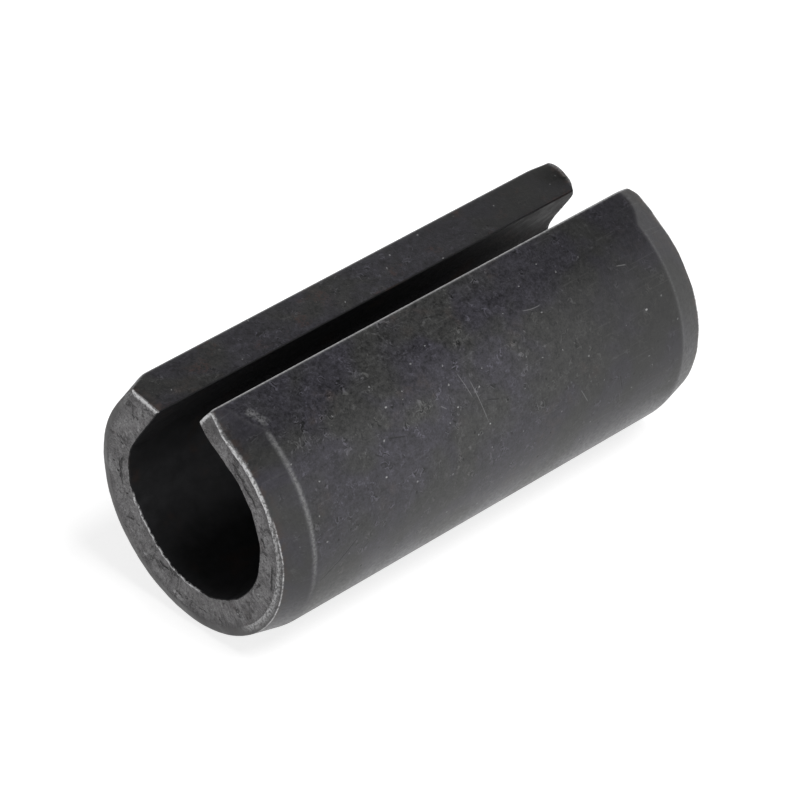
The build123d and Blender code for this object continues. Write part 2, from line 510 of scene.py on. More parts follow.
def build_mesh():
    """Points, faces, each face's material, each point's marks and its place round the shank."""
    near, far = half_surface(True), half_surface(False)
    near[0][..., 0] -= HALF
    far[0][..., 0] = HALF - far[0][..., 0]
    loops, marks, turned = [np.concatenate([a, b[::-1][1:]]) for a, b in zip(near, far)]
    last = len(loops) - 1
    i = np.arange(LOOP)
    j = (i + 1) % LOOP
    in_bore = (i >= ARC + SIDE - INNER_ARC) & (i < 2 * ARC + SIDE + INNER_ARC - 1)
    ring = np.stack([i, j, LOOP + j, LOOP + i], -1)
    faces = [k * LOOP + ring for k in range(last)]
    slots = [np.where(in_bore, BORE_SLOT, BODY_SLOT)] * last
    points = [loops.reshape(-1, 3)]
    marks, turned = [marks.reshape(-1, len(MARKS))], [turned.reshape(-1)]
    for k in (0, last):
        own, own_faces, own_marks = end_cap(loops, k, sum(map(len, points)))
        points.append(own)
        faces.append(own_faces)
        slots.append(np.full(len(own_faces), FACE_SLOT))
        marks.append(own_marks)
        turned.append(np.zeros(len(own)))
    return [np.concatenate(part) for part in (points, faces, slots, marks, turned)]


# --- what shearing and handling did to the mesh ---
# Dents and small pits of the end faces: depth, size, how much more than half of the face they
# take, and a shift that makes them differ.
FACE_DENTS = (0.035, 0.75, 0.35, 3.0)
FACE_PITS = (0.016, 0.22, 0.1, 11.0)
DENT_REACH = 0.3
# The far end has lost the inner corner of its back lip: the Y where that starts, how fast it
# grows, its reach along the pin and the power with which it fades.
LOSS_START = 1.32
LOSS_CURVE = 0.42
LOSS_REACH = 1.3
LOSS_FADE = 1.5
# Only the lip loses it: the Z between which it begins, and the Y beyond which it lies.
LOSS_RISES = (2.2, 2.7)
LOSS_BEYOND = 0.2
# There the side of the slot is also pressed out: how far, at which share of the side and over
# which share, and its reach into the lip and along the pin.
BULGE = 0.12
BULGE_AT, BULGE_WIDTH = 0.36, 0.32
BULGE_DEPTH, BULGE_REACH = 0.35, 1.0
# Lips' corners rounded by handling: end, place (Y, Z), the way they face, reach.
SOFT_TIPS = [
    (-1, (-1.85, 3.8), (-0.6, 0.3, 0.7), 0.3),
    (-1, (-1.28, 3.3), (-0.7, 0.6, -0.3), 0.34),
    (-1, (1.95, 3.75), (-0.8, -0.2, 0.5), 0.34),
    (1, (-1.95, 3.8), (0.9, 0.3, 0.5), 0.6),
    (1, (0.55, 3.25), (1.0, -0.35, -0.1), 0.46),
]


def dents(points, depth, size, more, shift):
    at = (points / size + shift).tolist()
    waves = np.array([noise.noise(Vector(p)) for p in at])
    return depth * np.clip(more + waves, 0, 1)


def tip_loss(points):
    """How much of the pin's length is lost at the far tip of the back lip."""
    x, y, z = points.T
    on_lip = ramp(z, *LOSS_RISES) * (y > LOSS_BEYOND)
    loss = LOSS_CURVE * np.clip(LOSS_START - y, 0, None) ** 2 * on_lip
    return loss * np.clip(1 - (HALF - x) / LOSS_REACH, 0, 1) ** LOSS_FADE


def tip_bulge(points):
    """How far, in Y and Z, the side of the slot is pressed out at the far tip."""
    corner = polar(BACK_CORNER) * RADIUS
    side = np.array(BACK_INNER) - corner
    outwards = np.array([side[1], -side[0]]) / np.linalg.norm(side)
    place = points[:, 1:] - corner
    bulge = (BULGE * bump_at(place @ side / (side @ side), BULGE_AT, BULGE_WIDTH)
             * bump_at(place @ outwards, 0.0, BULGE_DEPTH)
             * np.clip(1 - (HALF - points[:, 0]) / BULGE_REACH, 0, 1) ** 2)
    return bulge[:, None] * outwards


def worn(points):
    """The same points with their end faces dented and the tips of their lips worn."""
    out = points.copy()
    for end in (-1, 1):
        from_end = HALF - end * points[:, 0]
        close = from_end < DENT_REACH
        depth = dents(points[close], *FACE_DENTS) + dents(points[close], *FACE_PITS)
        out[close, 0] -= end * depth * (1 - from_end[close] / DENT_REACH) ** 2
    out[:, 0] -= tip_loss(points)
    out[:, 1:] += tip_bulge(points)
    for end, (y, z), way, reach in SOFT_TIPS:
        from_tip = points - np.array([end * HALF, y, z])
        outwards = np.array(way) / np.linalg.norm(way)
        close = np.exp(-((from_tip**2).sum(1)) / reach**2)
        past = np.clip(from_tip @ outwards + reach / 2, 0, reach)
        out -= (close * past**2 / reach)[:, None] * outwards
    return out


def lean(points):
    """The same points turned from slot-up to the way the pin lies."""
    a = math.radians(-LEAN)
    c, s = math.cos(a), math.sin(a)
    x, y, z = points.T
    return np.stack([x, y * c - z * s, y * s + z * c], -1)


def set_marks(mesh, points, marks, turned):
    """Writes the marks, and each point's place on the unrolled surface."""
    for k, name in enumerate(MARKS):
        layer = mesh.attributes.new(name, "FLOAT", "POINT")
        layer.data.foreach_set("value", marks[:, k].astype(np.float32))
    layer = mesh.attributes.new("unrolled", "FLOAT_VECTOR", "POINT")
    flat = np.stack([points[:, 0], turned, np.zeros(len(turned))], -1)
    layer.data.foreach_set("vector", flat.astype(np.float32).ravel())


def add_pin():
    points, faces, slots, marks, turned = build_mesh()
    points = worn(points)
    mesh = bpy.data.meshes.new("pin")
    mesh.from_pydata((lean(points) * MM).tolist(), [], faces.tolist())
    for polygon, slot in zip(mesh.polygons, slots.tolist()):
        polygon.use_smooth = True
        polygon.material_index = slot
    set_marks(mesh, points, marks, turned)
    return new_object("rolled_pin", mesh)


pin = add_pin()
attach(pin, "root")
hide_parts("spring_pin")

# --- camera ---
CAMERA_AT = (-81.41, -85.72, 83.44)
CAMERA_TARGET = (-0.245, 0.07, -0.19)
CAMERA_ROLL = -0.31
CAMERA_LENS = 209.0
CAMERA_CLIP = (0.01, 10.0)


def add_camera():
    data = bpy.data.cameras.new("camera")
    data.lens = CAMERA_LENS
    data.clip_start, data.clip_end = CAMERA_CLIP
    camera = new_object("camera", data)
    at = Vector(CAMERA_AT) * MM
    look = (Vector(CAMERA_TARGET) * MM - at).to_track_quat("-Z", "Y").to_matrix()
    turn = look @ Matrix.Rotation(math.radians(CAMERA_ROLL), 3, "Z")
    camera.matrix_world = Matrix.Translation(at) @ turn.to_4x4()
    bpy.context.scene.camera = camera


add_camera()
bpy.context.scene.view_settings.view_transform = "Standard"

# --- what the materials are made with ---
# Colours are linear. The steel is the same everywhere where its coating is worn off.
STEEL_IOR = 1.5
BODY_SPECULAR, FACE_SPECULAR, BORE_SPECULAR = 0.5, 0.4, 0.1
BRIGHT_STEEL = (0.56, 0.56, 0.565)
SHEARED_DARK = (0.064, 0.06, 0.062)
# How far each noise is moved from the one before.
FIELD_STEP = (17.3, 9.1, 13.7)
# A speck is full up to this share of its radius, and is in a cell or not with this sharpness.
SPECK_CORE = 0.55
SPECK_PICK = 0.01
# A stroke is full up to these shares of its length and width. A spot is as wide as this share.
STROKE_FULL, STROKE_CORE = 0.3, 0.3
SPOT_WIDTH = 0.8


class Nodes:
    """Short names for building one material's node tree."""

    def __init__(self, name):
        self.material = bpy.data.materials.new(name)
        self.material.use_nodes = True
        self.tree = self.material.node_tree

    def put(self, socket, value):
        """Links a socket to an output, or sets its value."""
        if isinstance(value, bpy.types.NodeSocket):
            self.tree.links.new(value, socket)
        elif isinstance(value, tuple) and len(value) == 3 and socket.type == "RGBA":
            socket.default_value = (*value, 1)
        else:
            socket.default_value = value

    def add(self, kind, *values, inputs=None, **settings):
        """A new node: values of its first inputs, inputs by name or number, settings."""
        node = self.tree.nodes.new("ShaderNode" + kind)
        for name, value in settings.items():
            setattr(node, name, value)
        for socket, value in {**dict(enumerate(values)), **(inputs or {})}.items():
            self.put(node.inputs[socket], value)
        return node

    def math(self, operation, a, b=0):
        return self.add("Math", a, b, operation=operation).outputs[0]

    def chain(self, operation, values):
        out = values[0]
        for value in values[1:]:
            out = self.math(operation, out, value)
        return out

    def times(self, *values):
        return self.chain("MULTIPLY", values)

    def plus(self, *values):
        return self.chain("ADD", values)

    def most(self, *values):
        return self.chain("MAXIMUM", values)

    def minus(self, a, b):
        return self.math("SUBTRACT", a, b)

    def weighed(self, values, weights):
        """The sum of values, each times its own weight."""
        return self.plus(*map(self.times, values, weights))

    def ramp(self, value, low, high, bottom=0, top=1):
        """From bottom to top, smoothly, as a value goes from low to high."""
        return self.add(
            "MapRange", value, low, high, bottom, top, interpolation_type="SMOOTHSTEP").outputs[0]

    def split(self, vector):
        return tuple(self.add("SeparateXYZ", vector).outputs)


class Steel(Nodes):
    """A material of the pin, with its textures in millimetres."""

    def __init__(self, name, specular):
        super().__init__(name)
        self.shader = self.tree.nodes["Principled BSDF"]
        self.shader.inputs["IOR"].default_value = STEEL_IOR
        self.shader.inputs["Specular IOR Level"].default_value = specular
        self.mm = self.mapping(self.add("TexCoord").outputs["Object"], scale=(1 / MM,) * 3)
        self.x, self.y, self.z = self.split(self.mm)
        self.fields = 0

    def mapping(self, vector, scale=(1, 1, 1), turn=(0, 0, 0), shift=(0, 0, 0)):
        turn = [math.radians(a) for a in turn]
        return self.add("Mapping", vector, shift, turn, scale).outputs[0]

    def noise(self, scale, detail, rough, twist=0, vector=None):
        # each noise looks at a place of its own, or those of a like scale would coincide
        self.fields += 1
        place = [step * self.fields for step in FIELD_STEP]
        return self.add("TexNoise", self.mapping(vector or self.mm, shift=place), inputs={
            "Scale": scale, "Detail": detail, "Roughness": rough, "Distortion": twist}).outputs[0]

    def places(self, field, between):
        """Where a noise is in a range."""
        return self.ramp(self.noise(*field), *between)

    def line(self, field, width):
        """A line where a noise passes its middle, with half its width in the noise's units."""
        return self.ramp(self.math("ABSOLUTE", self.minus(field, 0.5)), 0, width, 1, 0)

    def cells(self, scale, vector, feature="F1"):
        return self.add("TexVoronoi", vector, inputs={"Scale": scale}, feature=feature).outputs

    def mix(self, factor, a, b, blend="MIX"):
        # a colour mix has its two colours at 6 and 7, and its result at 2
        return self.add("Mix", factor, inputs={6: a, 7: b}, data_type="RGBA", blend_type=blend,
                        clamp_factor=True).outputs[2]

    def over(self, colour, top, *shares):
        """A colour with another over it, as far as the product of the shares."""
        return self.mix(self.times(*shares), colour, top)

    def scaled(self, colour, value):
        grey = self.add("CombineColor", value, value, value).outputs[0]
        return self.mix(1, colour, grey, "MULTIPLY")

    def mark(self, name, output="Fac"):
        return self.add("Attribute", attribute_name=name).outputs[output]

    def specks(self, scale, radius, share, vector=None):
        """Round spots of a radius in mm, in a share of the cells of a grid."""
        cells = self.cells(scale, vector or self.mm)
        pick = self.add("SeparateColor", cells["Color"]).outputs[0]
        pick = self.ramp(pick, 1 - share, 1 - share + SPECK_PICK)
        radius *= scale
        return self.times(pick, self.ramp(cells["Distance"], radius * SPECK_CORE, radius, 1, 0))

    def vector(self, x, y):
        return self.add("CombineXYZ", x, y).outputs[0]

    def shifted(self, vector, value, reach):
        """The same vector moved to and fro by a value about 0.5."""
        move = self.times(self.minus(value, 0.5), 2 * reach)
        move = self.vector(move, move)
        return self.add("VectorMath", vector, move, operation="ADD").outputs[0]

    def stroke(self, vector, start, end, width, bend=0):
        """One scratch, from a point to a point of a plane, thin at both ends."""
        (x0, y0), (x1, y1) = start, end
        length = math.hypot(x1 - x0, y1 - y0)
        turn = math.degrees(math.atan2(y1 - y0, x1 - x0))
        middle = ((x0 + x1) / 2, (y0 + y1) / 2, 0)
        from_middle = self.add("VectorMath", vector, middle, operation="SUBTRACT").outputs[0]
        u, v, _ = self.split(self.mapping(from_middle, turn=(0, 0, -turn)))
        u = self.math("ABSOLUTE", u)
        v = self.math("ABSOLUTE", self.plus(v, self.times(u, u, bend)))
        return self.times(self.ramp(u, length * STROKE_FULL, length / 2, 1, 0),
                          self.ramp(v, width * STROKE_CORE, width, 1, 0))

    def strokes(self, vector, marks, place):
        """Scratches: each has both its ends, its width and, where it is bent, its bend."""
        return self.most(*[self.stroke(vector, place(*start), place(*end), *form)
                           for start, end, *form in marks])

    def spots(self, vector, marks, place):
        """Round spots: each has its place and its radius."""
        drawn = []
        for at, radius in marks:
            u, v = place(*at)
            ends = (u - radius, v), (u + radius, v)
            drawn.append(self.stroke(vector, *ends, radius * SPOT_WIDTH))
        return self.most(*drawn)

    def finish(self, colour, bare, rough, height, bump):
        """Sets the shader, with bright steel where bare, and a bump's depth and strength."""
        depth, strength = bump
        inputs = {"Height": height, "Distance": depth * MM, "Strength": strength}
        for name, value in (
                ("Base Color", self.mix(bare, colour, BRIGHT_STEEL)), ("Metallic", bare),
                ("Roughness", rough), ("Normal", self.add("Bump", inputs=inputs).outputs[0])):
            self.put(self.shader.inputs[name], value)
        return self.material


# In what follows a noise has its scale, detail, roughness and twist. A range has its low and
# high, and what they turn into where that isn't 0 and 1. A share says how much of it shows.

# --- the body: a mottled black phosphate coating ---
STEEL_BLUE = (0.0262, 0.025, 0.0312)
STEEL_OLIVE = (0.026, 0.026, 0.0255)
STEEL_BROWN = (0.029, 0.023, 0.0205)
THIN_BROWN = (0.05, 0.0365, 0.0315)
SLOT_RUST = (0.042, 0.02, 0.016)
PIT_BLACK = (0.006, 0.006, 0.006)
SCRATCH_BLACK = (0.006, 0.006, 0.007)

# Wide patches, mottle, grain, flecks, and the field that draws the rings.
COATING = (
    (0.42, 2, 0.5, 0.6), (2.6, 4, 0.65, 0.4), (8.5, 3, 0.7), (17, 2, 0.7), (4.2, 1, 0.5, 0.9))
OLIVE_RANGE, MOTTLE_SHADE = (0.42, 0.6), (0.3, 0.7, -0.25, 0.32)
GRAIN_SHADE, FLECK_SHADE = (0.32, 0.68, -0.28, 0.42), (0.34, 0.66, -0.16, 0.28)
BROWN = (0.6, 3, 0.6), (0.54, 0.7)
BROWN_MOTTLE, BROWN_SHARE = (0.42, 0.6), 0.6
# The coating is thickest at the top, with a wandering edge, and thins out on the chamfers and
# towards the far end.
EDGE_WANDER, EDGE_WANDER_BY = (0.5, 2, 0.5), 4
COATED_BY_Z = (-1, 3.5, 0.45, 1)
COATED_BY_X = (0.5, 8, 1, 0.5)
CHAMFER_BARE = 0.6
# Small curls and rings stand out of it, each kind in places of its own.
CURLS, CURL_WIDTH, CURL_SHADE = (6, 1.5, 0.5, 0.6), 0.08, 0.9
CURL_PLACES = (2.9, 2, 0.6), (0.54, 0.62)
RING_WIDTH, RING_SHADE = 0.075, 1.9
RING_PLACES = (2.2, 2, 0.6), (0.58, 0.66)
RING_INSIDE, RING_CENTRE, INSIDE_SHADE = (0.53, 0.58), (0.62, 0.68, 1, 0), 0.7
# The tone is the shade times its strength, and changes along and up the pin. Along the pin it
# carries painted light: the near end is made lighter and the far end darker.
SHADE_STRENGTH, LEAST_TONE = 1.2, 0.1
TONE_BY_Z = (2.4, 3.8, 1, 0.8)
NEAR_PAINTED_LIGHT_BY_X = (-8, -2, 1.05, 1.24)
FAR_PAINTED_SHADE_BY_X = (0, 7, 1, 0.62)
CHAMFER_LIFT = (-7, 7, 0.22, -0.12)
# Painted shade: the tone on the slot's sides falls to this share.
SLOT_SIDE_PAINTED_SHADE = 0.6
RUST_PLACES, RUST_GRAIN = ((1.1, 3, 0.6), (0.54, 0.66)), (0.42, 0.6)
RUST_SHARE = 0.6
# Pits and specks of dust: scale of their cells, radius, share of the cells.
PITS, PIT_SHARE = (1.9, 0.06, 0.4), 0.7
DUST = (2.3, 0.04, 0.5)
DUST_EDGE, DUST_EDGE_BY = (12, 1, 0.5), 0.06
# Hair lines: how they are stretched and turned, and their range.
HAIR = (1, 1, 0.5)
HAIR_LINES = [((0.55, 9, 1), 31, (0.68, 0.76)), ((0.5, 12, 1), -48, (0.69, 0.77))]
# Next to the worn rim the coating is thin and browned, up to this far from the end.
FRINGE_REACH, FRINGE_SHARE = (0.05, 0.42, 1, 0), 0.75
FRINGE = (3.5, 3, 0.6), (0.42, 0.6)
BEVEL_GRAIN = (0.35, 0.65, 0.4, 1)
# The rim of the end face is bright in beads, and the other worn lines are more even.
BEADS = (11, 3, 0.7), (0.38, 0.58, 1, 0)
BEAD_STRENGTH = (0.15, 0.45, 0.62, 0.34)
WEAR_RANGE = (0.02, 0.8)
# Roughness of the coating. Below the least, the denoiser leaves specks.
ROUGH_BY_GRAIN = (0.3, 0.7, 0.29, 0.44)
ROUGH_BY_PATCH = (0.4, 0.6, 0, 0.05)
SMOOTHER_BELOW = (-3.6, -1.5, 0.1, 0)
PIT_ROUGH, LEAST_ROUGH = 0.2, 0.28
# How far each texture raises or sinks the surface.
COATING_HEIGHTS, MOTTLE_HEIGHT, PIT_DEPTH, SCRATCH_DEPTH = (0.5, 0.25), 0.6, 0.8, 1.2
BODY_BUMP = (0.012, 0.8)

# Scratches on the shank: (from near end, angle up from the front) at both ends, width, bend.
DARK_SCRATCHES, DARK_SHARE = [
    ((1.25, -27.5), (2.85, -14.5), 0.03, 0.05),
    ((4.65, 18), (5.35, 15), 0.028),
    ((4, 15), (4.3, 12), 0.028),
    ((2.6, 35), (2.9, 33), 0.03, 0.3),
    ((8.6, 12), (9.1, 9.5), 0.024, 0.1),
    ((14, -8), (14.1, -16), 0.022),
], 0.85
PALE_SCRATCHES = [
    ((8.25, 24), (8.45, 2), 0.022, 0.02),
    ((7.95, 28), (8.15, 15), 0.018),
    ((6.9, 19), (7.1, 16.5), 0.024),
    ((12.3, -5), (12.6, -13), 0.02),
    ((15.2, 34), (15.6, 32.5), 0.024),
    ((11.2, 36), (12, 34.5), 0.022, 0.3),
]
# Where the near chamfer's ridge is rubbed more widely, beside the front lip.
RUBBED_PATCH, RUBBED_GRAIN = [((1.3, 45), (1, 56), 0.2)], (0.38, 0.6, 0.15, 1)
# Bright specks on the shank: (from near end, angle), radius.
SPECKS = [
    ((5.1, 29), 0.045), ((7.5, 43), 0.03), ((11.7, 46), 0.03), ((12.8, 51), 0.03),
    ((15.6, 12), 0.05), ((4.2, 4), 0.04), ((7.5, 15), 0.035), ((8.5, 2), 0.035),
]
# How bare the steel is in dust, pale scratches, the rubbed patch, hair lines and specks.
BARE_SHARES = (0.45, 0.21, 0.26, 0.03, 0.75)


def on_shank(from_near, turned):
    """A place on the unrolled shank: distance from the near end, and angle up from the front."""
    return -HALF + from_near, math.radians(180 - turned) * RADIUS


def body_material():
    n = Steel("phosphated_steel", BODY_SPECULAR)
    flat, chamfer, slot_side = n.mark("unrolled", "Vector"), n.mark("chamfer"), n.mark("slot_side")
    patches, mottle, grain, fleck, rings = [n.noise(*field) for field in COATING]
    wander = n.times(n.noise(*EDGE_WANDER), EDGE_WANDER_BY)
    coated = n.times(n.ramp(n.plus(n.z, wander), *COATED_BY_Z),
                     n.minus(1, n.times(chamfer, CHAMFER_BARE)), n.ramp(n.x, *COATED_BY_X))
    colour = n.mix(n.ramp(patches, *OLIVE_RANGE), STEEL_BLUE, STEEL_OLIVE)
    colour = n.over(
        colour, STEEL_BROWN, n.places(*BROWN), n.ramp(mottle, *BROWN_MOTTLE), BROWN_SHARE)
    # the coating's crystals, curls and rings
    curls = n.times(
        n.line(n.noise(*CURLS), CURL_WIDTH), n.places(*CURL_PLACES), CURL_SHADE)
    inside = n.times(n.ramp(rings, *RING_INSIDE), n.ramp(rings, *RING_CENTRE))
    ring = n.minus(
        n.times(n.line(rings, RING_WIDTH), RING_SHADE), n.times(inside, INSIDE_SHADE))
    ring = n.times(ring, n.places(*RING_PLACES))
    shade = n.plus(n.ramp(grain, *GRAIN_SHADE), n.ramp(fleck, *FLECK_SHADE),
                   n.ramp(mottle, *MOTTLE_SHADE), curls, ring)
    # painted light along the pin: the tone rises towards the near end and falls towards the far
    # end
    # painted shade: the tone is darker on the slot's sides
    tone = n.times(
        n.plus(n.times(shade, n.times(coated, SHADE_STRENGTH)), 1), n.ramp(n.z, *TONE_BY_Z),
        n.plus(n.times(chamfer, n.ramp(n.x, *CHAMFER_LIFT)), 1),
        n.ramp(slot_side, 0, 1, 1, SLOT_SIDE_PAINTED_SHADE), n.ramp(n.x, *NEAR_PAINTED_LIGHT_BY_X),
        n.ramp(n.x, *FAR_PAINTED_SHADE_BY_X))
    colour = n.scaled(colour, n.most(tone, LEAST_TONE))
    # what lies in and on the coating
    pits = n.times(n.specks(*PITS), coated)
    jagged = n.shifted(n.mm, n.noise(*DUST_EDGE), DUST_EDGE_BY)
    dust = n.times(n.specks(*DUST, jagged), coated)
    colour = n.over(colour, SLOT_RUST, n.places(*RUST_PLACES), n.ramp(grain, *RUST_GRAIN),
                    slot_side, RUST_SHARE)
    hair = n.most(*[
        n.ramp(n.noise(*HAIR, vector=n.mapping(flat, scale=stretch, turn=(0, 0, turn))), *between)
        for stretch, turn, between in HAIR_LINES])
    dark, pale = [n.strokes(flat, m, on_shank) for m in (DARK_SCRATCHES, PALE_SCRATCHES)]
    colour = n.over(colour, PIT_BLACK, pits, PIT_SHARE)
    colour = n.over(colour, SCRATCH_BLACK, dark, DARK_SHARE)
    from_end = n.minus(HALF, n.math("ABSOLUTE", n.x))
    colour = n.over(
        colour, THIN_BROWN, n.ramp(from_end, *FRINGE_REACH), n.places(*FRINGE), FRINGE_SHARE)
    colour = n.over(colour, SHEARED_DARK, n.mark("bevel"), n.ramp(grain, *BEVEL_GRAIN))
    # where the steel is bare
    patch = n.times(n.strokes(flat, RUBBED_PATCH, on_shank), n.ramp(grain, *RUBBED_GRAIN))
    spots = n.spots(flat, SPECKS, on_shank)
    beads = n.times(n.ramp(from_end, *BEAD_STRENGTH), n.places(*BEADS))
    rubbed = n.times(n.mark("wear"), n.minus(1, beads))
    small = map(n.times, (dust, pale, patch, hair, spots), BARE_SHARES)
    bare = n.most(*small, n.ramp(rubbed, *WEAR_RANGE))
    rough = n.plus(n.ramp(grain, *ROUGH_BY_GRAIN), n.times(pits, PIT_ROUGH),
                   n.ramp(patches, *ROUGH_BY_PATCH))
    rough = n.most(n.minus(rough, n.ramp(n.z, *SMOOTHER_BELOW)), LEAST_ROUGH)
    height = n.times(n.weighed((grain, fleck), COATING_HEIGHTS), coated)
    height = n.plus(height, n.times(mottle, MOTTLE_HEIGHT))
    height = n.minus(n.minus(height, n.times(pits, PIT_DEPTH)), n.times(dark, SCRATCH_DEPTH))
    return n.finish(colour, bare, rough, height, BODY_BUMP)


# --- the end faces: grainy grey steel ---
SHEARED_PALE = (0.49, 0.476, 0.488)
FACE_RUST = (0.1, 0.05, 0.04)
CRACK_BLACK = (0.004, 0.003, 0.003)

# Its tone is a sum of noises. The streaks run outwards, and grain takes their place below.
FACE_COARSE, FACE_MEDIUM = (1.6, 4, 0.6, 0.5), (4.5, 4, 0.7, 0.4)
FACE_GRAIN, FACE_FINE = (11, 3, 0.7), (19, 2, 0.7)
STREAKS, STREAK_STRETCH, TORN_BY_Z = (1, 3, 0.65), (2.2, 15, 1), (-2.6, -1.2)
FACE_WEIGHTS, FACE_TONE = (0.28, 0.22, 0.35, 0.25, 0.25), (0.52, 0.88)
# Its outer band is darker.
FACE_OUTER, OUTER_SHARE = (3.55, 3.95), 0.65
FLAKES, FLAKE_COARSE = ((13, 2, 0.6), (0.55, 0.66)), (0.42, 0.58)
FLAKE_SHARE, FLAKES_LOST = 0.75, 0.7
FACE_RUSTY, FACE_RUST_GRAIN = ((0.9, 3, 0.6), (0.56, 0.7)), (0.4, 0.62)
FACE_RUST_SHARE = 0.5
# Holes: scale of their cells, radius, share of the cells. Splits are the cells' wandering edges.
FACE_HOLES, HOLE_GRAIN = (2.4, 0.09, 0.42), (0.3, 0.5)
SPLIT_CELLS, SPLIT_WIDTH, SPLIT_SHARE = 0.9, 0.045, 0.6
SPLIT_WANDER, SPLIT_JITTER = 0.3, 0.1
SPLIT_PLACES = (1.2, 3, 0.6), (0.5, 0.58)
CRACK_WANDER, WANDER_BY = (5, 2, 0.5), 0.1
GONE_SHARE = 0.95
SCRAPE_GRAIN, SCRAPE_SHARE, DOT_SHARE = (0.4, 0.6, 0.2, 1), 0.45, 0.9
FACE_WEAR_GRAIN, INNER_WEAR = (0.34, 0.58, 0.3, 1), (0.04, 0.7)
FACE_ROUGH = (0.3, 0.7, 0.34, 0.6)
FACE_HEIGHTS, CRACK_DEPTH, FACE_BUMP = (1, 0.6, 0.3), 1.6, (0.06, 0.9)

# Marks in the near end face: (radius, angle up from the front) at both ends, width, bend.
CRACKS = [
    ((3.52, 42), (3.4, 29), 0.065, 0.1),
    ((3.4, 30), (3.47, 15), 0.07, -0.1),
    ((3.28, -1), (3.36, -7), 0.05),
    ((3.6, -13), (3.7, -31), 0.06, 0.05),
    ((3.14, -205), (3.33, -182), 0.06, 0.25),
    ((3.27, -200), (3.22, -188), 0.045, -0.3),
    ((3.15, -136), (3.05, -126), 0.06, 0.3),
]
SCRAPES = [
    ((3.25, -240), (2.9, -231), 0.035),
    ((3.3, -222), (3.00, -216), 0.03),
    ((3.55, -122), (3.75, -108), 0.09),
    ((3.75, -200), (3.7, -188), 0.1),
    ((3.6, -145), (3.5, -139), 0.07),
]
# Spots in it: (radius, angle), radius of the spot.
HOLES = [((3.39, -236.4), 0.075), ((3.25, -238.5), 0.06), ((3.25, -211.7), 0.06),
         ((3.36, -191.2), 0.07), ((3.1, -178), 0.05), ((3.55, -196), 0.05)]
BRIGHT_DOTS = [
    ((3.4, -68.5), 0.045), ((3.38, -66), 0.035), ((3.3, -41), 0.035), ((3.95, -39), 0.04)]
# The radius at which the face's plane of radius and turn is as long as the face.
FACE_RADIUS = 3.6


def on_face(radius, turned):
    """A place on the near end face, as its texture's plane has it."""
    return radius, math.radians(-90 - turned) * FACE_RADIUS


def face_material():
    n = Steel("sheared_steel", FACE_SPECULAR)
    _, y, z = n.split(n.mapping(n.mm, turn=(LEAN, 0, 0)))
    radius = n.math("SQRT", n.plus(n.times(y, y), n.times(z, z)))
    turned = n.math("ARCTAN2", y, n.times(z, -1))
    flat = n.vector(radius, n.times(turned, FACE_RADIUS))
    near = n.math("LESS_THAN", n.x, 0)
    bent = n.shifted(flat, n.noise(*CRACK_WANDER), WANDER_BY)
    cracks, scrapes = [n.times(n.strokes(bent, m, on_face), near) for m in (CRACKS, SCRAPES)]
    holes, dots = [n.times(n.spots(flat, m, on_face), near) for m in (HOLES, BRIGHT_DOTS)]
    coarse, medium, grain = n.noise(*FACE_COARSE), n.noise(*FACE_MEDIUM), n.noise(*FACE_GRAIN)
    streaks = n.noise(*STREAKS, vector=n.mapping(flat, scale=STREAK_STRETCH))
    fine = n.noise(*FACE_FINE)
    torn = n.ramp(z, *TORN_BY_Z)
    drawn = n.plus(n.times(streaks, n.minus(1, torn)), n.times(grain, torn))
    tone = n.weighed((coarse, medium, drawn, grain, fine), FACE_WEIGHTS)
    colour = n.mix(n.ramp(tone, *FACE_TONE), SHEARED_DARK, SHEARED_PALE)
    outer = n.ramp(radius, *FACE_OUTER)
    colour = n.over(colour, SHEARED_DARK, outer, OUTER_SHARE)
    colour = n.over(colour, BRIGHT_STEEL, n.places(*FLAKES), n.ramp(coarse, *FLAKE_COARSE),
                    n.minus(1, n.times(outer, FLAKES_LOST)), FLAKE_SHARE)
    colour = n.over(colour, FACE_RUST, n.places(*FACE_RUSTY),
                    n.ramp(grain, *FACE_RUST_GRAIN), FACE_RUST_SHARE)
    small_holes = n.times(n.specks(*FACE_HOLES), n.ramp(grain, *HOLE_GRAIN))
    wandering = n.shifted(n.shifted(flat, medium, SPLIT_WANDER), grain, SPLIT_JITTER)
    edges = n.cells(SPLIT_CELLS, wandering, "DISTANCE_TO_EDGE")["Distance"]
    splits = n.times(
        n.ramp(edges, 0, SPLIT_WIDTH, 1, 0), n.places(*SPLIT_PLACES), SPLIT_SHARE)
    gone = n.most(small_holes, splits, cracks, holes)
    colour = n.over(colour, CRACK_BLACK, gone, GONE_SHARE)
    scraped = n.times(scrapes, n.ramp(grain, *SCRAPE_GRAIN), SCRAPE_SHARE)
    rubbed = n.times(n.mark("wear"), n.ramp(grain, *FACE_WEAR_GRAIN))
    bare = n.most(scraped, n.times(dots, DOT_SHARE), n.ramp(rubbed, *INNER_WEAR))
    height = n.weighed((medium, grain, streaks), FACE_HEIGHTS)
    height = n.minus(height, n.times(gone, CRACK_DEPTH))
    return n.finish(colour, bare, n.ramp(grain, *FACE_ROUGH), height, FACE_BUMP)


# --- the bore: dull black, browned towards the far end ---
BORE_BLACK = (0.0215, 0.0215, 0.0228)
BORE_BROWN = (0.04, 0.026, 0.02)
BORE_END_BROWN = (0.009, 0.0065, 0.006)
BORE_MOTTLE, BORE_TONE = (2.2, 4, 0.6), (0.3, 0.7, 0.85, 1.15)
BORE_DUST, BORE_DUST_SHARE = (2, 0.035, 0.1), 0.25
BORE_BROWNED = (0.7, 3, 0.6), (0.56, 0.7, 0, 0.4)
BORE_END_BY_X = (5.5, 8.5, 0, 0.55)
BITES = (9, 3, 0.6), (0.38, 0.6, 0.2, 1)
BORE_ROUGH = (0.3, 0.7, 0.5, 0.65)
BORE_BUMP = (0.02, 0.6)


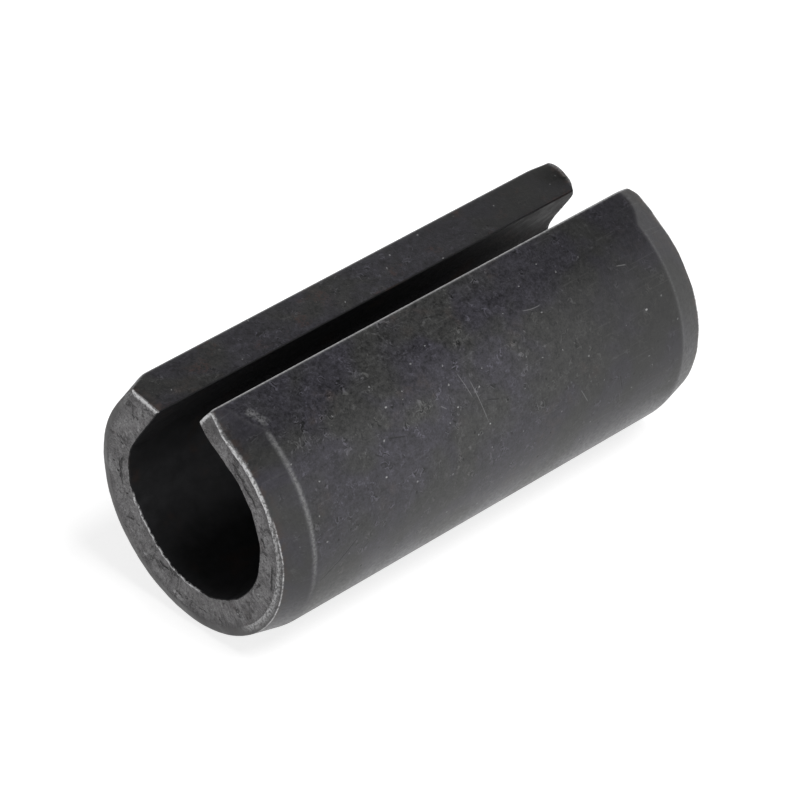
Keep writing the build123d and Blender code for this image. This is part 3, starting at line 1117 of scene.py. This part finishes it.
def bore_material():
    n = Steel("bore_steel", BORE_SPECULAR)
    mottle = n.noise(*BORE_MOTTLE)
    colour = n.scaled(BORE_BLACK, n.ramp(mottle, *BORE_TONE))
    colour = n.over(colour, BRIGHT_STEEL, n.specks(*BORE_DUST), BORE_DUST_SHARE)
    colour = n.over(colour, BORE_BROWN, n.places(*BORE_BROWNED))
    colour = n.over(colour, BORE_END_BROWN, n.ramp(n.x, *BORE_END_BY_X))
    bare = n.ramp(n.times(n.mark("wear"), n.places(*BITES)), *INNER_WEAR)
    return n.finish(colour, bare, n.ramp(mottle, *BORE_ROUGH), mottle, BORE_BUMP)


# --- studio ---
FLOOR_REACH = 0.34
WALL_HEIGHT = 0.36
WALL_STEPS = 96
FLOOR_ALBEDO = 0.5
# How much brighter the white is where the camera sees it, and in a gloss, in which the wall
# fades with its height.
SEEN_LIFT = 0.8
FLOOR_GLOSS = 0.6
WALL_GLOSS = 0.7
WALL_FADE = (0.05, 0.36, 1.0, 0.25)
KEY_AT = (0.04, -0.2, 0.38)
KEY_SIZE = 0.22
KEY_POWER = 1.42
WORLD_STRENGTH = 0.09


def glowing_white(name, gloss_lift, fades):
    """Plain white that is lifted a little where it is seen, directly or in a gloss."""
    n = Nodes(name)
    n.tree.nodes.clear()
    path = n.add("LightPath").outputs
    gloss = n.times(n.most(path["Is Glossy Ray"], path["Is Transmission Ray"]), gloss_lift)
    if fades:
        height = n.split(n.add("NewGeometry").outputs["Position"])[2]
        gloss = n.times(gloss, n.ramp(height, *WALL_FADE))
    lift = n.plus(n.times(path["Is Camera Ray"], SEEN_LIFT), gloss)
    diffuse = n.add("BsdfDiffuse", (FLOOR_ALBEDO,) * 3).outputs[0]
    glow = n.add("Emission", inputs={"Strength": lift}).outputs[0]
    n.add("OutputMaterial", n.add("AddShader", diffuse, glow).outputs[0])
    n.material.cycles.emission_sampling = "NONE"
    return n.material


def add_stage():
    """A round floor at the pin's lowest line, and a wall round it."""
    bottom = cad_bounds[0].z
    verts = [(0.0, 0.0, bottom)]
    for height in (bottom, bottom + WALL_HEIGHT):
        for i in range(WALL_STEPS):
            a = 2 * math.pi * i / WALL_STEPS
            verts.append((FLOOR_REACH * math.cos(a), FLOOR_REACH * math.sin(a), height))
    steps = [(1 + i, 1 + (i + 1) % WALL_STEPS) for i in range(WALL_STEPS)]
    floor_faces = [(0, a, b) for a, b in steps]
    wall_faces = [(b, a, a + WALL_STEPS, b + WALL_STEPS) for a, b in steps]
    for name, faces, lift, fades in (
            ("floor", floor_faces, FLOOR_GLOSS, False),
            ("backdrop", wall_faces, WALL_GLOSS, True)):
        mesh = bpy.data.meshes.new(name)
        mesh.from_pydata(verts, [], faces)
        mesh.materials.append(glowing_white(name, lift, fades))
        obj = new_object(name, mesh)


def add_lamp():
    data = bpy.data.lights.new("key_softbox", "AREA")
    data.shape, data.size, data.energy = "DISK", KEY_SIZE, KEY_POWER
    lamp = new_object("key_softbox", data)
    lamp.location = KEY_AT
    lamp.rotation_mode = "QUATERNION"
    lamp.rotation_quaternion = (-Vector(KEY_AT)).to_track_quat("-Z", "Y")
    lamp.visible_glossy = False


def add_world():
    world = bpy.data.worlds.new("world")
    bpy.context.scene.world = world
    world.use_nodes = True
    background = world.node_tree.nodes["Background"]
    background.inputs["Color"].default_value = (1, 1, 1, 1)
    background.inputs["Strength"].default_value = WORLD_STRENGTH


add_stage()
add_lamp()
add_world()
for material in (body_material(), face_material(), bore_material()):
    pin.data.materials.append(material)
